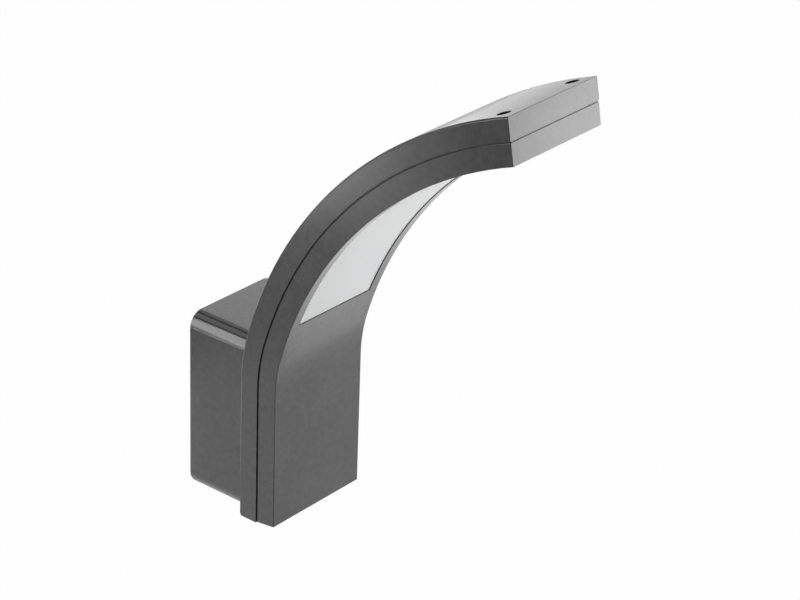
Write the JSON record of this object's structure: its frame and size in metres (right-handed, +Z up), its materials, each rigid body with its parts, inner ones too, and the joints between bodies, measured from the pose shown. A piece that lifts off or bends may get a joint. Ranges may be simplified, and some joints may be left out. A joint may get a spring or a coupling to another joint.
{
  "type": "outdoor wall lamp",
  "caption": "Outdoor wall lamp: a curved two-shell arm rises from a wall box and bends forward, with an opal window on its underside.",
  "frame": {"origin": "on the wall plane, at the middle of the wall box, where the bracket lies on the wall", "axes": "+Z up, +Y into the wall, the arm reaches out along -Y, X across the lamp"},
  "size_m": [0.075, 0.2227, 0.3023],
  "materials": {
    "shell_paint": "fine-textured powder coat, anthracite grey",
    "zinc_steel": "bright zinc plate",
    "brass": "plain brass",
    "opal": "opal, satin face",
    "white_plastic": "white moulded plastic",
    "board": "white solder mask",
    "chip": "yellow phosphor",
    "heat_pad": "soft blue-grey pad",
    "rubber": "black moulded rubber",
    "driver_case": "pale grey plastic case",
    "lead_black": "black sheath",
    "lead_red": "red sleeve",
    "lead_green": "green and yellow sleeve"
  },
  "bodies": {
    "root": {"wall_box": "shell_paint", "wall_seal": "rubber", "mounting_bracket": "zinc_steel", "box_screws": "zinc_steel", "supply_bush": "rubber", "terminal_block": "white_plastic", "terminal_clamps": "brass", "terminal_screws": "zinc_steel", "earth_screw": "brass", "earth_washer": "zinc_steel", "earth_lug": "brass", "earth_lead": "lead_green", "lamp_lead": "lead_black", "lead_bush": "rubber", "rear_shell": "shell_paint", "front_shell": "shell_paint", "shell_seal": "rubber", "arm_screws": "zinc_steel", "tip_screws": "zinc_steel", "diffuser": "opal", "diffuser_seal": "rubber", "light_frame": "white_plastic", "frame_screws": "zinc_steel", "led_board_lower": "board", "led_board_middle": "board", "led_board_upper": "board", "led_chips_lower": "chip", "led_chips_middle": "chip", "led_chips_upper": "chip", "heat_pads": "heat_pad", "board_screws": "zinc_steel", "board_sockets": "white_plastic", "board_links": "lead_red", "driver_leads": "lead_red", "led_driver": "driver_case", "driver_screws": "zinc_steel"}
  },
  "joints": []
}
